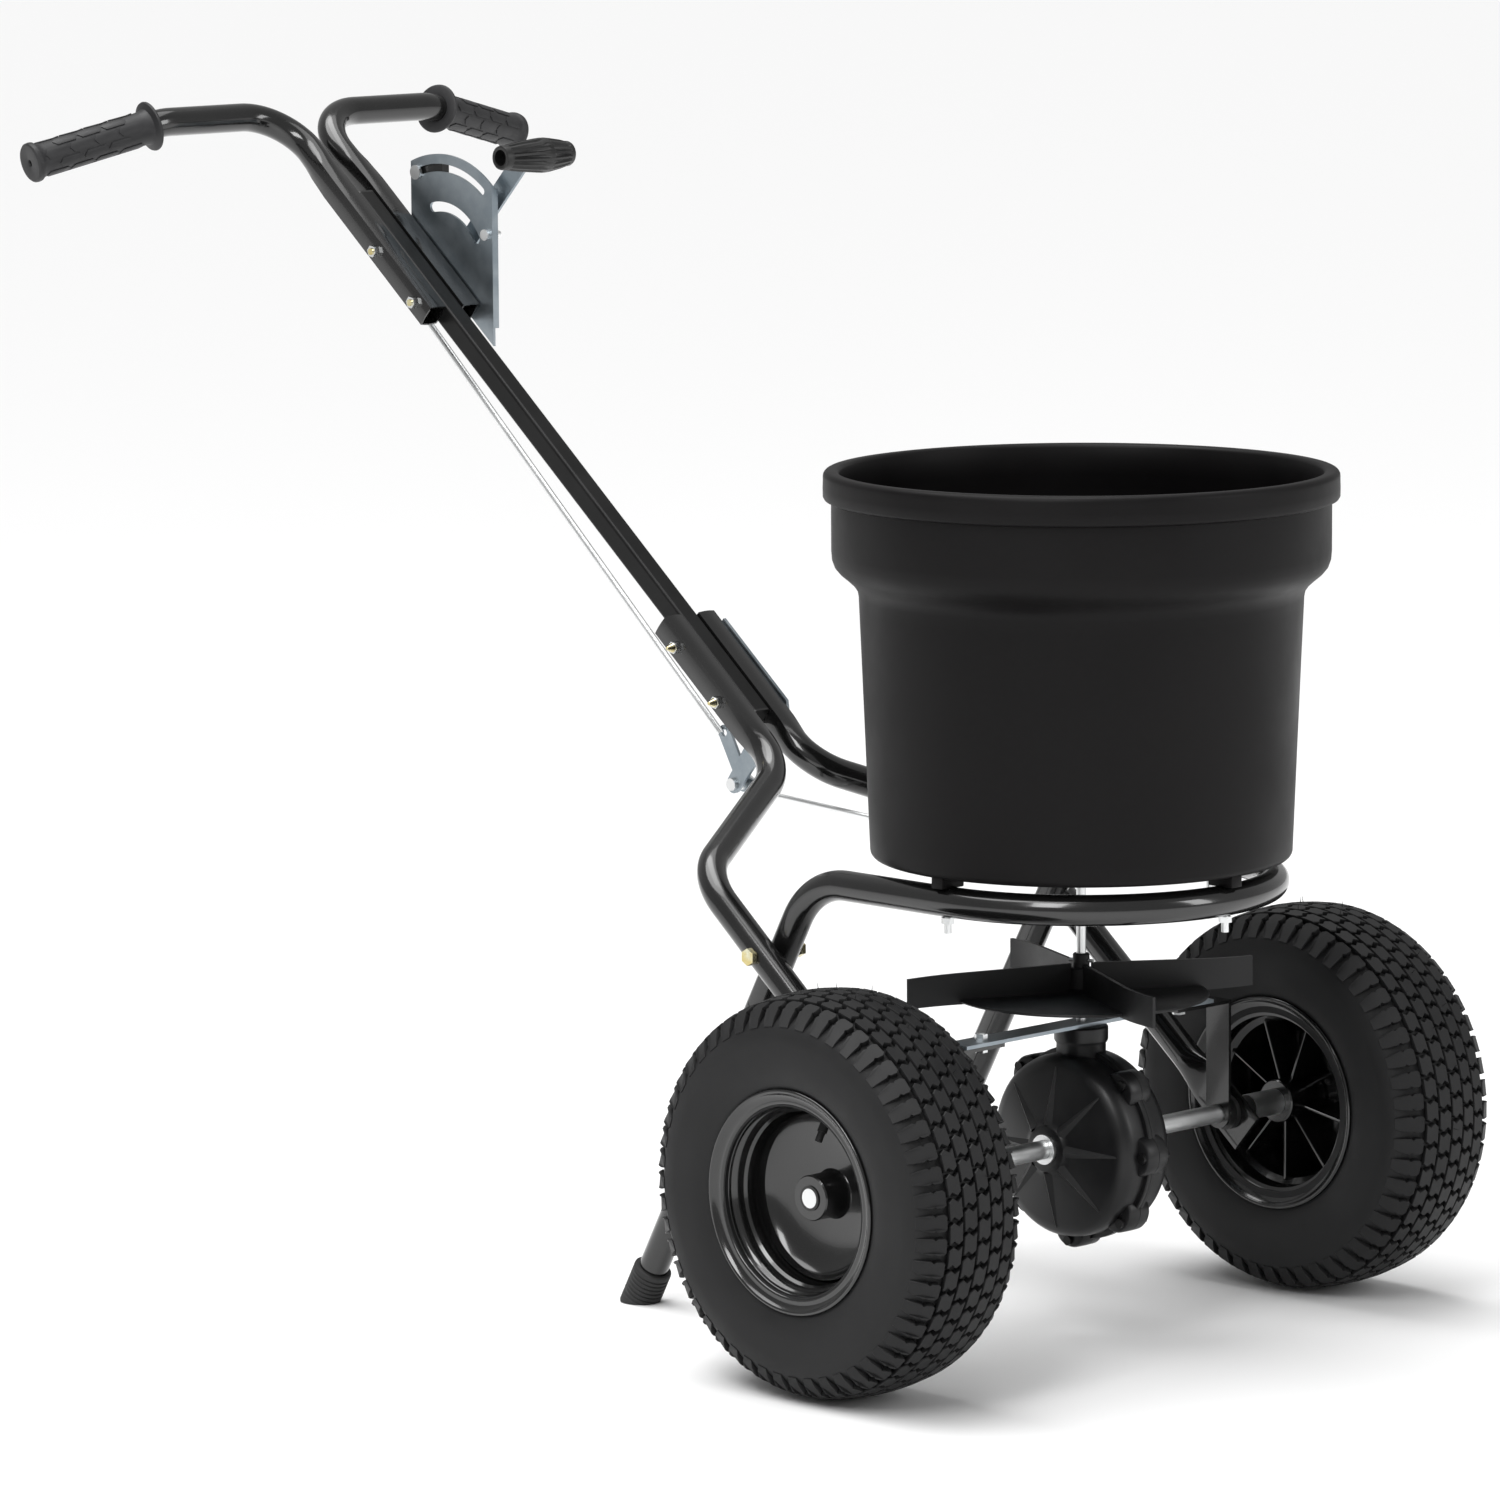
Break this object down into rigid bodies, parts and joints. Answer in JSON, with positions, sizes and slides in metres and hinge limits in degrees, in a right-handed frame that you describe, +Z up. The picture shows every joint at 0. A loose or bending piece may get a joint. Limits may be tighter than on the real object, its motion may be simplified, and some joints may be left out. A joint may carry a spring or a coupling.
{
  "type": "push broadcast spreader",
  "caption": "Push broadcast spreader with a round hopper, pneumatic wheels, a gearbox that drives the impeller from the axle, and a lever on the pole for the flow rate.",
  "frame": {"origin": "on the ground, at the centre of the spreader's length and width", "axes": "+X to the spreader's left, +Y back towards the person pushing it, so it rolls towards -Y, and +Z up"},
  "size_m": [0.6916, 1.2225, 0.9986],
  "materials": {
    "hopper_plastic": "fine matt grain",
    "gearbox_plastic": "satin",
    "gear_plastic": "satin",
    "bushing": "satin",
    "knob": "satin",
    "rubber": "matt",
    "tyre": "matt",
    "rim_paint": "gloss black",
    "tube_paint": "gloss black",
    "pole_paint": "satin black",
    "zinc": "zinc plated, soft sheen",
    "zinc_rod": "zinc plated, smooth",
    "screw": "bright zinc",
    "yellow_zinc": "yellow passivated zinc"
  },
  "bodies": {
    "frame": {"hopper": "hopper_plastic", "shaft_bushing": "bushing", "gate_guides": "zinc", "guide_screws": "screw", "gearbox_right": "gearbox_plastic", "gearbox_left": "gearbox_plastic", "gearbox_screws": "screw", "axle_bushings": "bushing", "lower_tube_right": "tube_paint", "lower_tube_left": "tube_paint", "support_tube": "tube_paint", "foot_caps": "rubber", "crossing_bolts": "yellow_zinc", "hopper_bolts": "screw", "gearbox_strap": "zinc", "strap_hangers": "tube_paint", "strap_bolts": "screw", "pole": "pole_paint", "pole_plugs": "bushing", "lower_clamp_bolts": "yellow_zinc", "upper_clamp_bolts": "yellow_zinc", "handle_right": "tube_paint", "handle_left": "tube_paint", "grip_right": "rubber", "grip_left": "rubber", "flow_plate": "zinc", "lever_pivot": "screw", "rest_bolt": "screw", "crank_bracket": "zinc", "crank_bolt": "screw"},
    "drive_axle": {"axle": "zinc_rod", "axle_washers": "screw", "axle_spacers": "zinc_rod", "drive_gear": "gear_plastic", "gear_pin": "screw", "tyre_left": "tyre", "rim_left": "rim_paint", "valve_left": "rubber", "wheel_bushings_left": "bushing", "drive_pin": "screw", "end_rings": "bushing"},
    "right_wheel": {"tyre_right": "tyre", "rim_right": "rim_paint", "valve_right": "rubber", "wheel_bushings_right": "bushing"},
    "impeller": {"impeller": "gear_plastic", "impeller_shaft": "zinc_rod", "shaft_pins": "screw", "pinion": "gear_plastic", "agitator": "zinc"},
    "closure": {"closure_plate": "zinc"},
    "flow_lever": {"flow_lever": "zinc", "lever_knob": "knob"},
    "flow_stop": {"flow_stop": "knob", "flow_stop_bolt": "screw"},
    "control_rod": {"control_rod": "zinc_rod"},
    "bell_crank": {"bell_crank": "zinc"},
    "lower_rod": {"lower_rod": "zinc_rod"}
  },
  "joints": [
    {"name": "axle_spin", "type": "hinge", "parent": "frame", "child": "drive_axle", "pos_m": [0, -0.399, 0.165], "axis": [1, 0, 0], "continuous": true},
    {"name": "right_wheel_spin", "type": "hinge", "parent": "drive_axle", "child": "right_wheel", "pos_m": [-0.2881, -0.399, 0.165], "axis": [1, 0, 0], "continuous": true},
    {"name": "impeller_spin", "type": "hinge", "parent": "frame", "child": "impeller", "pos_m": [0, -0.399, 0.288], "axis": [0, 0, 1], "continuous": true},
    {"name": "flow_lever_swing", "type": "hinge", "parent": "frame", "child": "flow_lever", "pos_m": [0.044, 0.41105, 0.84713], "axis": [-1, 0, 0], "range_deg": [0, 52]},
    {"name": "control_rod_pivot", "type": "hinge", "parent": "flow_lever", "child": "control_rod", "pos_m": [0.044, 0.4496, 0.80651], "axis": [1, 0, 0], "range_deg": [0, 50.7]},
    {"name": "bell_crank_swing", "type": "hinge", "parent": "frame", "child": "bell_crank", "pos_m": [0.044, 0.0414, 0.4164], "axis": [1, 0, 0], "range_deg": [0, 70.45]},
    {"name": "closure_slide", "type": "slide", "parent": "frame", "child": "closure", "axis": [0, 1, 0], "range_m": [0, 0.0199]},
    {"name": "lower_rod_tilt", "type": "hinge", "parent": "closure", "child": "lower_rod", "pos_m": [0.035, -0.267, 0.394], "axis": [-1, 0, 0], "range_deg": [0, 3.76]},
    {"name": "flow_stop_slide", "type": "hinge", "parent": "frame", "child": "flow_stop", "pos_m": [0.037, 0.41105, 0.84713], "axis": [1, 0, 0], "range_deg": [0, 41]}
  ],
  "couplings": [
    {"joint": "impeller_spin", "follows": "axle_spin", "ratio": -4.2},
    {"joint": "control_rod_pivot", "follows": "flow_lever_swing", "ratio": 0.97481},
    {"joint": "bell_crank_swing", "follows": "flow_lever_swing", "ratio": 1.3544},
    {"joint": "closure_slide", "follows": "flow_lever_swing", "m_per_rad": 0.021916},
    {"joint": "lower_rod_tilt", "follows": "flow_lever_swing", "ratio": 0.072192}
  ]
}
